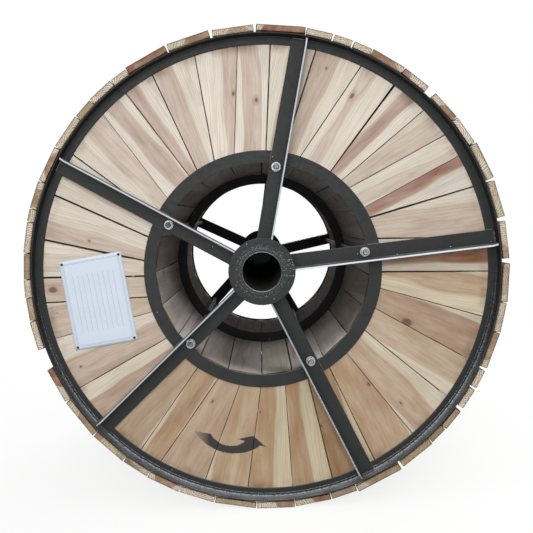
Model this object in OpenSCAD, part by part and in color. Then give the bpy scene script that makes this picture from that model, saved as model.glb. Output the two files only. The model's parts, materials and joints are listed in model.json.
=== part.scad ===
// Steel-framed wooden cable drum, closed all round with lagging boards.
// The axis lies along Y with the front flange at -Y, and the drum stands on its lagging with +Z up.
// The origin is the middle of the spindle bore.

/* [Flanges] */
// Outer diameter of the two steel rims
rim_d = 1500; // [1400:10:1600]
// Width of each leg of the rolled angle that makes a rim
rim_leg = 30; // [26:1:36]
// Thickness of the rim angle and of the inner ring, the plates that carry the spokes
plate_t = 4; // [3:0.5:5]
// Radius in the root of the rim angle
rim_root_r = 3; // [2:0.5:4]
// Width over the boarded outer faces of the two flanges
drum_w = 900; // [800:10:1000]
// Thickness of the flange planks
plank_t = 25; // [20:1:30]
// Gap at an ordinary joint between planks
plank_gap = 1.5; // [1:0.5:2]
// Distance that the plank ends stand back from the rim's edge and from the barrel's inside
plank_setback = 5; // [4:1:8]
// Radial width of the flat inner ring
ring_w = 38; // [30:1:45]

/* [Spokes] */
// Number of spokes, and of tie rods
spoke_count = 5; // [4:1:6]
// Width of each leg of a spoke's angle iron
spoke_leg = 50; // [46:1:54]
// Thickness of a spoke's angle iron
spoke_t = 5; // [4:0.5:6]
// Radius in the root of a spoke's angle iron
spoke_root_r = 4; // [3:0.5:4.5]
// Distance from the axis to the heel of a spoke, measured across it
spoke_heel = 16; // [10:1:20]
// Length of the slope that trims the standing leg down to the rim
spoke_slope = 26; // [15:1:40]

/* [Hub] */
// Outer diameter of the spindle pipe
pipe_d = 141.3; // [130:0.1:150]
// Bore of the spindle pipe
pipe_bore_d = 122.3; // [110:0.1:125]
// Length of pipe that stands proud of each hub disc
pipe_proud = 4; // [3:0.5:8]
// Diameter of the hub discs
disc_d = 210; // [190:1:230]
// Thickness of the hub discs
disc_t = 8; // [6:0.5:12]

/* [Barrel] */
// Inside diameter of the barrel, and of the inner rings
barrel_d = 694; // [660:2:720]
// Thickness of the staves
stave_t = 25; // [20:1:30]
// Gap between neighbouring staves
stave_gap = 1.5; // [1:0.5:2]
// Radial width of the hoop that holds the staves apart at mid width
hoop_w = 38; // [32:1:45]
// Thickness of that hoop
hoop_t = 6; // [4:0.5:10]

/* [Tie rods] */
// Diameter of the tie rods
rod_d = 16; // [14:1:18]
// Distance of the rods' centres inside the barrel's inner surface
rod_inset = 13; // [12:0.5:15]
// Distance from a spoke's heel to the rods' centres, measured across its flat leg
rod_gauge = 28; // [26:1:32]
// Width of a nut across its flats
nut_flats = 24; // [22:1:27]
// Height of a nut
nut_h = 13; // [10:0.5:16]
// Diameter of a washer
washer_d = 30; // [28:1:31]
// Thickness of a washer
washer_t = 3; // [2:0.5:4]
// Length of thread that shows past a nut
rod_end = 6; // [3:0.5:12]

/* [Lagging] */
// Thickness of an ordinary lagging board
board_t = 22; // [18:0.5:26]
// Clearance between boards that are laid edge to edge
board_gap = 1; // [0.5:0.1:1.5]
// Width of the steel straps round the lagging
strap_w = 32; // [19:1:40]
// Thickness of the straps
strap_t = 0.9; // [0.7:0.1:1.2]
// Distance from the end of the boards to the middle of a strap
strap_inset = 210; // [120:5:300]
// Length of the crimped seal that closes a strap
seal_l = 45; // [35:1:55]
// Thickness of the seal's jacket
seal_t = 1.2; // [1:0.1:2]

/* [Hidden] */
$fn = 96;

// Clearance between a round piece and the piece that it fits
fit_gap = 0.2;
// Clearance of a drilled hole round a tie rod
drill_gap = 1;
// Overrun of every cut
overrun = 5;

// Direction of the first spoke, counter-clockwise from +X seen from the front
spoke_turn = 4.7;
// How far each spoke leans about its tie rod, in spoke pitches
spoke_lean_shares = [-0.014, 0, -0.002, 0.008, 0.014];
// Direction of the first joint between planks, and between staves
plank_turn = 4.8;
stave_turn = 12.1;

// Each plank: its width, the lean of its first joint in plank pitches, and that joint's gap at the rim
// and at the barrel
plank_shares = [
    [13.3, 0.80, 0.9, 2.4], [8.7, 0.51, 1.6, 2.6], [6.1, 0.15, 0.7, 0.7], [8.3, 0.78, 1.0, 1.0],
    [9.8, 0.43, 1.0, 0.8], [9.4, 0.09, 4.4, 1.2], [12.3, 0.84, 1.6, 1.0], [11.7, 0.38, 1.4, 1.4],
    [8.1, 0.02, 1.2, 1.6], [11.2, 0.84, 0.7, 0.7], [12.0, 0.72, 1.2, 2.2], [8.4, 0.44, 1.8, 1.6],
    [7.8, 0.01, 0.7, 0.7], [13.1, 0.85, 0.6, 0.6], [11.7, 0.51, 1.8, 1.8], [12.0, 0.43, 3.2, 2.8],
    [10.1, 0.40, 3.6, 2.6], [6.5, 0.12, 3.4, 2.6], [9.8, 0.56, 2.0, 2.0], [14.5, 0.30, 0.6, 0.6],
    [12.4, 0.32, 0.7, 0.7], [10.8, 0.30, 0.8, 0.8], [5.9, 0.07, 0.8, 0.8], [12.7, 0.70, 0.8, 0.8],
    [11.4, 0.49, 0.8, 0.8], [11.7, 0.37, 1.4, 0.8], [10.5, 0.39, 0.8, 0.8], [12.0, 0.50, 0.9, 0.9],
    [12.0, 0.47, 1.0, 1.0], [12.9, 0.34, 0.6, 0.6], [11.1, 0.46, 1.3, 0.9], [11.6, 0.54, 0.9, 0.8],
    [11.7, 0.36, 0.8, 0.8], [8.4, -0.08, 1.6, 2.6]
];

// Each lagging board: its width, the open space after it, and its thickness
board_shares = [
    [9.0, 0.8, 0.98], [8.9, 0.4, 1.05], [9.2, 0.0, 1.16], [7.2, 0.0, 1.00], [7.5, 1.9, 0.95],
    [7.1, 0.0, 1.02], [8.6, 0.0, 0.98], [4.6, 0.3, 0.98], [4.5, 0.3, 0.98], [6.4, 0.0, 1.00],
    [11.9, 0.4, 0.98], [10.0, 0.5, 0.95], [10.6, 0.2, 1.05], [10.9, 0.0, 1.05], [4.4, 0.0, 1.00],
    [6.7, 0.0, 1.05], [5.1, 0.0, 0.98], [8.7, 0.0, 1.00], [9.1, 0.0, 1.02], [7.0, 0.0, 1.08],
    [3.1, 0.0, 1.12], [7.7, 0.0, 1.05], [6.5, 0.0, 1.00], [4.4, 0.0, 1.05], [5.7, 0.0, 0.98],
    [7.4, 5.1, 1.08], [9.1, 0.0, 0.98], [10.5, 0.0, 0.98], [9.5, 0.0, 0.98], [6.9, 0.0, 0.98],
    [8.5, 0.0, 1.02], [9.0, 0.0, 0.95], [10.2, 0.0, 0.95], [9.4, 0.0, 1.00], [8.9, 0.0, 0.92],
    [6.5, 0.0, 0.95], [11.8, 0.4, 1.10], [9.0, 0.0, 0.98], [4.5, 0.0, 0.92], [5.6, 0.7, 1.02],
    [5.3, 0.4, 0.98], [4.7, 0.5, 0.98], [9.0, 0.0, 0.95], [7.2, 0.0, 1.00], [9.4, 0.9, 1.05]
];
// The board that lies flat on the ground, and the one that carries the seals
ground_board = 33;
seal_board = 12;

// Each stave: its width, and the gap of its first joint
stave_shares = [
    [17.5, 1.0], [17.5, 0.8], [21.5, 1.0], [18.0, 0.8], [17.0, 2.4], [18.5, 1.0], [17.5, 0.8],
    [20.0, 2.0], [19.0, 1.0], [18.0, 1.2], [18.0, 1.4], [17.0, 1.0], [16.5, 1.2], [18.5, 1.4],
    [16.5, 1.2], [18.5, 2.4], [18.0, 0.8], [17.0, 1.4], [17.0, 1.0], [18.5, 1.0]
];

rim_r = rim_d / 2;
barrel_r = barrel_d / 2;
pipe_r = pipe_d / 2;
half_w = drum_w / 2;
spoke_pitch = 360 / spoke_count;

// Heights above a flange's boarded face
spoke_seat = plate_t;
washer_seat = spoke_seat + spoke_t;
nut_seat = washer_seat + washer_t;
disc_seat = spoke_seat + spoke_leg;
disc_face = disc_seat + disc_t;
pipe_end = disc_face + pipe_proud;

// A tie rod passes through a spoke's flat leg on its gauge line
rod_r = barrel_r - rod_inset;
rod_across = rod_gauge - spoke_heel;
rod_along = sqrt(rod_r * rod_r - rod_across * rod_across);
rod_turn = spoke_turn + asin(rod_across / rod_r);
rod_hole_r = rod_d / 2 + drill_gap;

// A spoke ends at the root of the rim angle, and its slope at the height of the rim's lip
spoke_reach = rim_r - plate_t - rim_root_r - fit_gap;
lip_rise = rim_leg - plate_t;

board_l = drum_w + 2 * rim_leg;
strap_place = board_l / 2 - strap_inset;

// Sum of the first n rows of a table of shares, over one column of it
function sum_to(rows, column, n) = n == 0 ? 0 : rows[n - 1][column] + sum_to(rows, column, n - 1);
// A point given by its radius and direction
function polar(radius, turn) = [radius * cos(turn), radius * sin(turn)];
// The turn that a short length takes up at a radius
function arc_turn(length, radius) = length / radius * 180 / PI;

plank_count = len(plank_shares);
plank_total = sum_to(plank_shares, 0, plank_count);
plank_pitch = 360 / plank_count;
plank_out_r = rim_r - plank_setback;
plank_in_r = barrel_r + plank_setback;

// Direction of plank joint k at the rim and at the barrel, and half its gap there
function joint_out(k) = plank_turn + 360 * sum_to(plank_shares, 0, k) / plank_total;
function joint_in(k) = joint_out(k) + plank_pitch * plank_shares[k % plank_count][1];
function rim_half_gap(k) = plank_gap * plank_shares[k % plank_count][2] / 2;
function barrel_half_gap(k) = plank_gap * plank_shares[k % plank_count][3] / 2;

board_count = len(board_shares);
board_total = sum_to(board_shares, 0, board_count) + sum_to(board_shares, 1, board_count);

// Where board k starts and how wide a turn it takes, before the ground board is set at the bottom
function board_from(k) = 360 * (sum_to(board_shares, 0, k) + sum_to(board_shares, 1, k)) / board_total;
function board_span(k) = 360 * board_shares[k][0] / board_total;
function board_mid(k) = board_from(k) + board_span(k) / 2;
// Direction of the middle of board k, half its width, and its outer face's distance from the axis
function board_turn(k) = board_mid(k) - board_mid(ground_board) - 90;
function board_half_w(k) = rim_r * tan(board_span(k) / 2) - board_gap / 2;
function board_face(k) = rim_r + fit_gap + board_t * board_shares[k][2];

// One corner of a strap over board k, on the side given, at a height over the board's face
function strap_point(k, side, height) =
    let (out = board_face(k) + height, across = side * board_half_w(k), turn = board_turn(k))
    [out * cos(turn) - across * sin(turn), out * sin(turn) + across * cos(turn)];
function strap_outline(height) =
    [for (k = [0 : board_count - 1], side = [-1, 1]) strap_point(k, side, height)];

stave_count = len(stave_shares);
stave_total = sum_to(stave_shares, 0, stave_count);
// Direction of stave joint k, and half its gap
function stave_edge(k) = stave_turn + 360 * sum_to(stave_shares, 0, k) / stave_total;
function stave_half_gap(k) = stave_gap * stave_shares[k % stave_count][1] / 2;

// Puts the drum's own axis, drawn along Z with the front facing up, along Y
module stand() rotate([90, 0, 0]) children();

// Places a piece on the boarded face of the front flange
module on_front() stand() translate([0, 0, half_w]) children();

// The back flange is the front one turned round about a line through the first tie rod
module on_back() stand() rotate(180, concat(polar(1, rod_turn), [0])) translate([0, 0, half_w]) children();

// Repeats a piece at each tie rod
module at_rods()
    for (k = [0 : spoke_count - 1])
        translate(polar(rod_r, rod_turn + k * spoke_pitch)) children();

// Section of a rolled angle with a rounded root, heel at the origin
module angle_section(leg, thickness, root_r) {
    square([leg, thickness]);
    square([thickness, leg]);
    translate([thickness, thickness])
        difference() {
            square(root_r);
            translate([root_r, root_r]) circle(root_r);
        }
}

// Flat ring, drawn upward from the plane
module flat_ring(inner_r, outer_r, height)
    rotate_extrude()
        translate([inner_r, 0])
            square([outer_r - inner_r, height]);

// Rim: an angle rolled leg-in, with its other leg standing outward as a lip
module rim()
    color("#37393d")
        rotate_extrude()
            translate([rim_r, 0])
                mirror([1, 0])
                    angle_section(rim_leg, plate_t, rim_root_r);

// Ring that holds the inner ends of the planks and closes the barrel's edge
module inner_ring()
    color("#37393d")
        flat_ring(barrel_r, barrel_r + ring_w, plate_t);

// Spoke: an angle iron from pipe to rim, flat leg down, with its standing leg trimmed at the rim
module spoke(k)
    color("#3b3d41")
        rotate((k - 1) * spoke_pitch + spoke_turn)
            translate([0, 0, spoke_seat])
                intersection() {
                    difference() {
                        translate([rod_along, rod_across])
                            rotate(spoke_pitch * spoke_lean_shares[(k - 1) % len(spoke_lean_shares)])
                                translate([-rod_along, -rod_across])
                                    rotate([90, 0, 90])
                                        linear_extrude(rim_r + overrun)
                                            translate([-spoke_heel, 0])
                                                angle_section(spoke_leg, spoke_t, spoke_root_r);
                        translate([0, 0, -overrun])
                            cylinder(r = pipe_r + fit_gap, h = spoke_leg + 2 * overrun);
                        translate([rod_along, rod_across, -overrun])
                            cylinder(r = rod_hole_r, h = spoke_t + 2 * overrun);
                        rotate([90, 0, 0])
                            linear_extrude(2 * spoke_leg, center = true)
                                slope_cut();
                    }
                    translate([0, 0, -overrun])
                        cylinder(r = spoke_reach, h = spoke_leg + 2 * overrun);
                }

// Outline of what is cut from the top of the standing leg at the rim
module slope_cut()
    polygon([
        [spoke_reach - spoke_slope, spoke_leg],
        [spoke_reach, lip_rise],
        [spoke_reach + overrun, lip_rise],
        [spoke_reach + overrun, spoke_leg + overrun],
        [spoke_reach - spoke_slope, spoke_leg + overrun]
    ]);

// Disc welded over the spokes' standing legs and round the pipe
module hub_disc()
    color("#3b3d41")
        translate([0, 0, disc_seat])
            flat_ring(pipe_r + fit_gap, disc_d / 2, disc_t);

// Tapered boards of one flange, laid side by side round the barrel
module flange_planks()
    color("#cdb69c")
        translate([0, 0, -plank_t])
            linear_extrude(plank_t)
                for (k = [0 : plank_count - 1]) plank_outline(k);

// One plank between joints k and k + 1
module plank_outline(k) {
    in_next = joint_in(k + 1);
    out_next = joint_out(k + 1);
    polygon([
        polar(plank_in_r, joint_in(k) + arc_turn(barrel_half_gap(k), plank_in_r)),
        polar(plank_out_r, joint_out(k) + arc_turn(rim_half_gap(k), plank_out_r)),
        polar(plank_out_r, out_next - arc_turn(rim_half_gap(k + 1), plank_out_r)),
        polar(plank_in_r, in_next - arc_turn(barrel_half_gap(k + 1), plank_in_r))
    ]);
}

// Staves of the barrel, bevelled to stand in a ring between the two boarded flanges
module barrel_staves()
    color("#a58d74")
        linear_extrude(drum_w - 2 * plank_t, center = true)
            for (k = [0 : stave_count - 1]) stave_outline(k);

// One stave, flat inside and out, with its sides on the barrel's radii
module stave_outline(k) {
    half_turn = (stave_edge(k + 1) - stave_edge(k)) / 2;
    inner = barrel_r + fit_gap;
    outer = inner + stave_t;
    rotate(stave_edge(k) + half_turn)
        polygon([
            [inner, -inner * tan(half_turn) + stave_half_gap(k)],
            [outer, -outer * tan(half_turn) + stave_half_gap(k)],
            [outer, outer * tan(half_turn) - stave_half_gap(k + 1)],
            [inner, inner * tan(half_turn) - stave_half_gap(k + 1)]
        ]);
}

// Hoop inside the staves at mid width, drilled for the tie rods
module middle_hoop()
    color("#2c2d30")
        translate([0, 0, -hoop_t / 2])
            difference() {
                flat_ring(barrel_r - hoop_w, barrel_r, hoop_t);
                at_rods()
                    translate([0, 0, -overrun])
                        cylinder(r = rod_hole_r, h = hoop_t + 2 * overrun);
            }

// Pipe through the drum, in which the spindle turns
module spindle_pipe()
    color("#3b3d41")
        difference() {
            cylinder(r = pipe_r, h = 2 * (half_w + pipe_end), center = true);
            cylinder(r = pipe_bore_d / 2, h = 2 * (half_w + pipe_end + overrun), center = true);
        }

// Tie rod that draws the two flanges together on the staves
module tie_rod(k)
    color("#8f9194")
        translate(polar(rod_r, rod_turn + (k - 1) * spoke_pitch))
            cylinder(r = rod_d / 2, h = 2 * (half_w + nut_seat + nut_h + rod_end), center = true);

// Plain washers on the spokes of one flange
module washers()
    color("#b4b6b8")
        at_rods()
            translate([0, 0, washer_seat])
                flat_ring(rod_d / 2 + fit_gap, washer_d / 2, washer_t);

// Hexagon nuts on those washers
module nuts()
    color("#a9abad")
        at_rods()
            translate([0, 0, nut_seat])
                difference() {
                    cylinder(d = nut_flats / cos(30), h = nut_h, $fn = 6);
                    translate([0, 0, -overrun])
                        cylinder(r = rod_d / 2 + fit_gap, h = nut_h + 2 * overrun);
                }

// Lagging boards, laid flat across both rims with their ends flush with the lips
module lagging_boards()
    color("#d8c6aa")
        linear_extrude(board_l, center = true)
            for (k = [0 : board_count - 1])
                rotate(board_turn(k))
                    translate([rim_r + fit_gap, -board_half_w(k)])
                        square([board_face(k) - rim_r - fit_gap, 2 * board_half_w(k)]);

// Steel strap drawn tight round the lagging
module strap(place)
    color("#6d7074")
        translate([0, 0, place])
            linear_extrude(strap_w, center = true)
                difference() {
                    polygon(strap_outline(strap_t));
                    polygon(strap_outline(0));
                }

// Crimped seals that close the straps, lying on the straps over one board
module strap_seals()
    color("#7d8084")
        for (side = [-1, 1])
            rotate(board_turn(seal_board))
                translate([board_face(seal_board) + strap_t, -seal_l / 2, side * strap_place - strap_w / 2])
                    cube([seal_t, seal_l, strap_w]);

on_front() rim();  // front_rim
on_front() inner_ring();  // front_inner_ring
on_front() hub_disc();  // front_hub_disc
on_front() flange_planks();  // front_flange_planks
on_back() rim();  // back_rim
on_back() inner_ring();  // back_inner_ring
on_back() hub_disc();  // back_hub_disc
on_back() flange_planks();  // back_flange_planks
for (k = [1 : spoke_count]) {
    on_front() spoke(k);
    on_back() spoke(k);
    stand() tie_rod(k);
}
on_front() washers();  // front_washers
on_front() nuts();  // front_nuts
on_back() washers();  // back_washers
on_back() nuts();  // back_nuts
stand() spindle_pipe();
stand() middle_hoop();
stand() barrel_staves();
stand() lagging_boards();
stand() strap(strap_place);  // front_strap
stand() strap(-strap_place);  // back_strap
stand() strap_seals();
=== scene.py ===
# Wooden cable drum: raw boards on a painted angle-iron frame, standing on its own lagging.
import json
from functools import partial

import bpy
import numpy as np
from mathutils import Matrix, Vector

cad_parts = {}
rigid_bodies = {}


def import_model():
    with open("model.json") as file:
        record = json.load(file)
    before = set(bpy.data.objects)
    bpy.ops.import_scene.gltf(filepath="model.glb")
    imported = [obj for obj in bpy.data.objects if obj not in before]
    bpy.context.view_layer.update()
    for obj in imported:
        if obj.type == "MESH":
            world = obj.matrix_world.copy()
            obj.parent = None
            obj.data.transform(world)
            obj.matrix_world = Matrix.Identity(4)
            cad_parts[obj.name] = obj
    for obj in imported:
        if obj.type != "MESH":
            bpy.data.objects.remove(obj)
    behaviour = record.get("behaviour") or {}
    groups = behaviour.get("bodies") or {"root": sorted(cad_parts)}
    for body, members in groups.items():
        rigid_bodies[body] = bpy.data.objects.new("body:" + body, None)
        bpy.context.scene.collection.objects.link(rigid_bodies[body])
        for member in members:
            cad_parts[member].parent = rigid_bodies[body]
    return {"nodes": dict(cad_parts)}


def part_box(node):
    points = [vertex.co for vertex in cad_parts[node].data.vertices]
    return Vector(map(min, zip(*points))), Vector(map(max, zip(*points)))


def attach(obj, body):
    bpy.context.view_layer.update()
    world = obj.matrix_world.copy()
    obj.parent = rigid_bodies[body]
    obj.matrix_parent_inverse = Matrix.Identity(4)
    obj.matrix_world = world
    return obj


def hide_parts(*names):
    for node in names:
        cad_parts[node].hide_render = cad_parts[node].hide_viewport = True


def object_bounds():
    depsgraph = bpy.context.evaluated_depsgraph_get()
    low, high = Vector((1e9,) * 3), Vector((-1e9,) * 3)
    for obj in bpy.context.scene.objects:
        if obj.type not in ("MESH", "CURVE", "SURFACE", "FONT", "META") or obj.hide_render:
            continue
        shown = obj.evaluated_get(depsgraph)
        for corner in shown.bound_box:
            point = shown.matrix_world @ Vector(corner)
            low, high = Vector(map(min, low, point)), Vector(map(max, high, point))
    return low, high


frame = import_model()
cad_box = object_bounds()

# Spindle pipe
# A thick steel tube right through the drum, sawn square and painted with the rest of the frame.
# The hub discs are welded round its ends, and the mouth keeps a bright, scraped edge.
MM = 0.001
ROUND = 2 * np.pi
SMOOTH = {"interpolation_type": "SMOOTHSTEP"}
COLOUR = {"data_type": "RGBA"}


def linear(colour):
    """Turns an sRGB hex colour to linear RGBA by the sRGB curve, with alpha 1."""
    channel = np.array([int(colour[at:at + 2], 16) for at in (1, 3, 5)]) / 255
    curve = np.where(channel <= 0.04045, channel / 12.92, ((channel + 0.055) / 1.055) ** 2.4)
    return (*curve.tolist(), 1.0)


def add_node(tree, kind, sockets=(), **settings):
    """Adds a node with its settings, or takes one that is there, and fills its sockets in order or by name.

    A second word in the kind is the node's operation. A socket takes a value, an output, or another node,
    whose first output in use then feeds it.
    """
    node = kind
    if isinstance(kind, str):
        kind, _, operation = kind.partition(" ")
        node = tree.nodes.new(f"ShaderNode{kind}")
        if operation:
            node.operation = operation
    for name, value in settings.items():
        setattr(node, name, value)
    for name, value in sockets.items() if isinstance(sockets, dict) else enumerate(sockets):
        if isinstance(value, bpy.types.Node):
            value = next(output for output in value.outputs if output.enabled)
        if isinstance(value, bpy.types.NodeSocket):
            tree.links.new(value, node.inputs[name])
        else:
            node.inputs[name].default_value = value
    return node


def finish_named(name):
    """Starts a material, and gives it with what adds its nodes, its Principled shader and a point's place."""
    finish = bpy.data.materials.new(name)
    finish.use_nodes = True
    add = partial(add_node, finish.node_tree)
    return finish, add, finish.node_tree.nodes["Principled BSDF"], add("TexCoord").outputs["Object"]


def mottled(name, dark, pale, patch, detail, even):
    """A finish of two colours that noise mixes in patches of a real size; even is alike all over.

    It comes with its add, shader, place, noise and colour, so that more can be laid over it.
    """
    finish, add, shader, place = finish_named(name)
    noise = add("TexNoise", {"Vector": place, "Scale": 1 / patch, "Detail": detail})
    colour = add("Mix", {0: noise, 6: linear(dark), 7: linear(pale)}, **COLOUR)
    add(shader, {"Base Color": colour, **even})
    return finish, add, shader, place, noise, colour


# Brushed paint on mild steel: a thin dark grey film, a little cloudy, that drags and thins over the welds.
# A pale coat lies on what faces up, partly dust and partly a painted sheen of the light from above.
# The attribute "bare" rubs it to metal, and fine pale specks are spatter.
# A span is where a mask starts and where it is full, then its least and its most.
PAINT_DUST_AND_SHEEN = "#8b9096"
RUBBED_GREY = "#85888a"
RUBBED_BRIGHT = "#dbe3ea"
SPECK = "#b9bab8"
PAINT_DRAG = 9 * MM
DRAG_HIGH = 0.4 * MM
RUB_SCRATCH = 3 * MM
SPECK_SPACING = 14 * MM
SPECK_CORE = (0.13, 0.08)
SPECK_RARE = 0.97
DUST_AND_SHEEN_SLOPE = (0.3, 0.95)
DUST_AND_SHEEN_CLOUD = (0.35, 0.65, 0.2, 0.6)
SCRAPED = (0.9, 1.15)
SHINING = (0.4, 1.0)
PAINT_GLOSS = (0.3, 0.7, 0.45, 0.65)
painted_steel, add, shader, place, cloud, film = mottled(
    "brushed_paint_on_steel", dark="#1f2021", pale="#2e2f2f", patch=70 * MM, detail=4.0,
    even={"Specular IOR Level": 0.25})
drag, scratch = (add("TexNoise", {"Vector": place, "Scale": 1 / size, "Detail": detail})
                 for size, detail in ((PAINT_DRAG, 5.0), (RUB_SCRATCH, 4.0)))
# Upward faces take the pale coat: partly dust, partly painted sheen standing in for light from above
normal = add("SeparateXYZ", [add("NewGeometry").outputs["Normal"]])
facing_up = add("MapRange", [normal.outputs[2], *DUST_AND_SHEEN_SLOPE])
dust_and_sheen = add("Math MULTIPLY", [facing_up, add("MapRange", [cloud, *DUST_AND_SHEEN_CLOUD])])
cells = add("TexVoronoi", {"Vector": place, "Scale": 1 / SPECK_SPACING, "Randomness": 1.0})
pick = add("SeparateColor", [cells.outputs["Color"]])
chosen = add("Math ADD", [pick, dust_and_sheen])
chosen = add("Math GREATER_THAN", [chosen, SPECK_RARE])
speck = add("Math MULTIPLY", [add("MapRange", [cells, *SPECK_CORE]), chosen])
bare = add("Attribute", attribute_name="bare").outputs["Fac"]
frayed = add("Math ADD", [scratch, bare])
shining = add("MapRange", [bare, *SHINING])
rubbed = add("Mix", {0: shining, 6: linear(RUBBED_GREY), 7: linear(RUBBED_BRIGHT)}, **COLOUR)
for mask, coat in ((dust_and_sheen, linear(PAINT_DUST_AND_SHEEN)), (speck, linear(SPECK)),
                   (add("MapRange", [frayed, *SCRAPED]), rubbed)):
    film = add("Mix", {0: mask, 6: film, 7: coat}, **COLOUR)
relief = add("Bump", {"Height": drag, "Strength": 0.25, "Distance": DRAG_HIGH})
gloss = add("MapRange", [drag, *PAINT_GLOSS])
add(shader, {"Base Color": film, "Roughness": gloss, "Normal": relief})

# Black mill scale: the dull oxide skin that hot rolling leaves inside a pipe, which no brush has reached.
mill_scale = mottled("black_mill_scale", dark="#303231", pale="#3a3835", patch=18 * MM, detail=5.0,
                     even={"Roughness": 0.95, "Specular IOR Level": 0.1})[0]


def eased(outline, cuts, steps=4):
    """Rounds a closed outline: each corner becomes a quadratic curve that starts and ends its cut away."""
    outline = np.asarray(outline, dtype=float)
    cut = np.broadcast_to(np.asarray(cuts, dtype=float), len(outline))[:, None]
    back = np.roll(outline, 1, axis=0) - outline
    ahead = np.roll(outline, -1, axis=0) - outline
    start = outline + back / np.linalg.norm(back, axis=1, keepdims=True) * cut
    end = outline + ahead / np.linalg.norm(ahead, axis=1, keepdims=True) * cut
    t = np.linspace(0, 1, steps + 1)[None, :, None]
    curve = (1 - t) ** 2 * start[:, None] + 2 * t * (1 - t) * outline[:, None] + t ** 2 * end[:, None]
    return curve.reshape(-1, outline.shape[1])


def turns(steps):
    """Equal turns once round, as a column."""
    return np.linspace(0, ROUND, steps, endpoint=False)[:, None]


def turned(profile, steps, lean=0):
    """Carries a profile of (radius, place along Y), alike all round or for each turn, round the axis."""
    turn = turns(steps) + lean
    radius, along = profile[..., 0], profile[..., 1]
    return np.stack([radius * np.cos(turn), along + 0 * turn, radius * np.sin(turn)], axis=-1)


def skin(name, grid, nodes=(), finish=painted_steel, slot="painted_steel", ring=False, **values):
    """Makes a piece of closed tubes from points in a grid (solid, station, outline, xyz).

    Quads join each station to the next round the outline. With ring the last station meets the first,
    otherwise a flat face shuts each end, and the face attribute "end" is 1 there. Faces are turned outwards
    by the sign of the volume. values are attributes, one number or vector for each point of the grid.
    """
    grid = np.asarray(grid, dtype=float)
    if grid.ndim == 3:
        grid = grid[None]
    index = np.arange(grid[..., 0].size).reshape(grid.shape[:3])
    here, following = (index, np.roll(index, -1, axis=1)) if ring else (index[:, :-1], index[:, 1:])
    quads = np.stack([here, following, np.roll(following, -1, axis=2), np.roll(here, -1, axis=2)], axis=-1)
    quads = quads.reshape(-1, 4)
    caps = np.concatenate([index[:, 0, ::-1], index[:, -1]])[:0 if ring else None]
    points = grid.reshape(-1, 3)
    corner = points[quads]
    facing_out = np.cross(corner[:, 2] - corner[:, 0], corner[:, 3] - corner[:, 1])
    volume = np.einsum("ij,ij->", corner.mean(axis=1) - points.mean(axis=0), facing_out)
    if volume < 0:
        quads, caps = quads[:, ::-1], caps[:, ::-1]
    mesh = bpy.data.meshes.new(name)
    mesh.from_pydata(points.tolist(), [], quads.tolist() + caps.tolist())
    is_cap = np.repeat([False, True], [len(quads), len(caps)])
    mesh.polygons.foreach_set("use_smooth", ~is_cap)
    mesh.attributes.new("end", "FLOAT", "FACE").data.foreach_set("value", is_cap.astype(np.float32))
    for key, value in values.items():
        shape = grid.shape[:3] if np.ndim(value) < 4 else grid.shape
        kind, field = ("FLOAT", "value") if len(shape) == 3 else ("FLOAT_VECTOR", "vector")
        flat = np.broadcast_to(value, shape).astype(np.float32).ravel()
        mesh.attributes.new(key, kind, "POINT").data.foreach_set(field, flat)
    piece = bpy.data.objects.new(name, mesh)
    bpy.context.scene.collection.objects.link(piece)
    piece.modifiers.new("even_shading", "WEIGHTED_NORMAL")
    mesh.materials.append(finish)
    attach(piece, "root")
    if nodes:
        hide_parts(*nodes)
    return piece


PIPE_R = 70.65 * MM
PIPE_BORE_R = 61.15 * MM
PIPE_EDGE = 1.2 * MM
MOUTH_RIM = 2.8 * MM
FINE_CUT = 0.2 * MM
MOUTH_BARE = 0.36
MOUTH_RIM_BARE = 0.28
ROUND_STEPS = 96
pipe_low, pipe_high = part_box("spindle_pipe")
pipe_profile = eased([(PIPE_R, pipe_low[1]), (PIPE_R, pipe_high[1]), (PIPE_BORE_R + MOUTH_RIM, pipe_high[1]),
                      (PIPE_BORE_R, pipe_high[1]), (PIPE_BORE_R, pipe_low[1]),
                      (PIPE_BORE_R + MOUTH_RIM, pipe_low[1])],
                     [PIPE_EDGE, PIPE_EDGE, FINE_CUT, PIPE_EDGE, PIPE_EDGE, FINE_CUT])
mouth = np.isclose(np.abs(pipe_profile[:, 1]), pipe_high[1], atol=PIPE_EDGE)
mouth_rim = mouth & (pipe_profile[:, 0] < PIPE_BORE_R + MOUTH_RIM / 2)
# Slings rub the mouth most at its top and bottom
MOUTH_RUB_AT = np.radians(262)
MOUTH_RUB_SWING = 0.3
mouth_rub = 1 - MOUTH_RUB_SWING * (1 - np.cos(2 * (turns(ROUND_STEPS) - MOUTH_RUB_AT)))
pipe = skin("spindle_pipe_tube", turned(pipe_profile, ROUND_STEPS), ["spindle_pipe"], ring=True,
            bare=MOUTH_BARE * mouth + MOUTH_RIM_BARE * mouth_rim * mouth_rub)
pipe.data.materials.append(mill_scale)
middle = np.empty(3 * len(pipe.data.polygons))
pipe.data.polygons.foreach_get("center", middle)
from_axis = np.hypot(*middle.reshape(-1, 3)[:, [0, 2]].T)
pipe.data.polygons.foreach_set("material_index", (from_axis < PIPE_BORE_R + PIPE_EDGE / 4).astype(np.int32))

# Hub discs
# Round plates flame-cut from sheet, one at each end of the pipe, over the standing legs of the spokes.
# Each is welded to the pipe by a bead all round the mouth.
DISC_R = 105 * MM
DISC_EDGE = 1.5 * MM
DISC_FIT = 0.2 * MM
DISC_SCUFF = 14 * MM
DISC_BARE = 0.24
DISC_SCUFF_BARE = 0.12
SIDES = ("front", "back")


def rod_at(number):
    """Where a tie rod crosses the plane through the middle of the drum."""
    low, high = (np.array(corner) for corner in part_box(f"tie_rod_{number}"))
    return (low + high) / 2 * np.array([1, 0, 1])


rod_line = rod_at(1) / np.linalg.norm(rod_at(1))


def facing(points, side):
    """The back flange is the front one turned half round the line from the axis to the first tie rod."""
    if side == "front":
        return points
    return 2 * (points @ rod_line)[..., None] * rod_line - points


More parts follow.
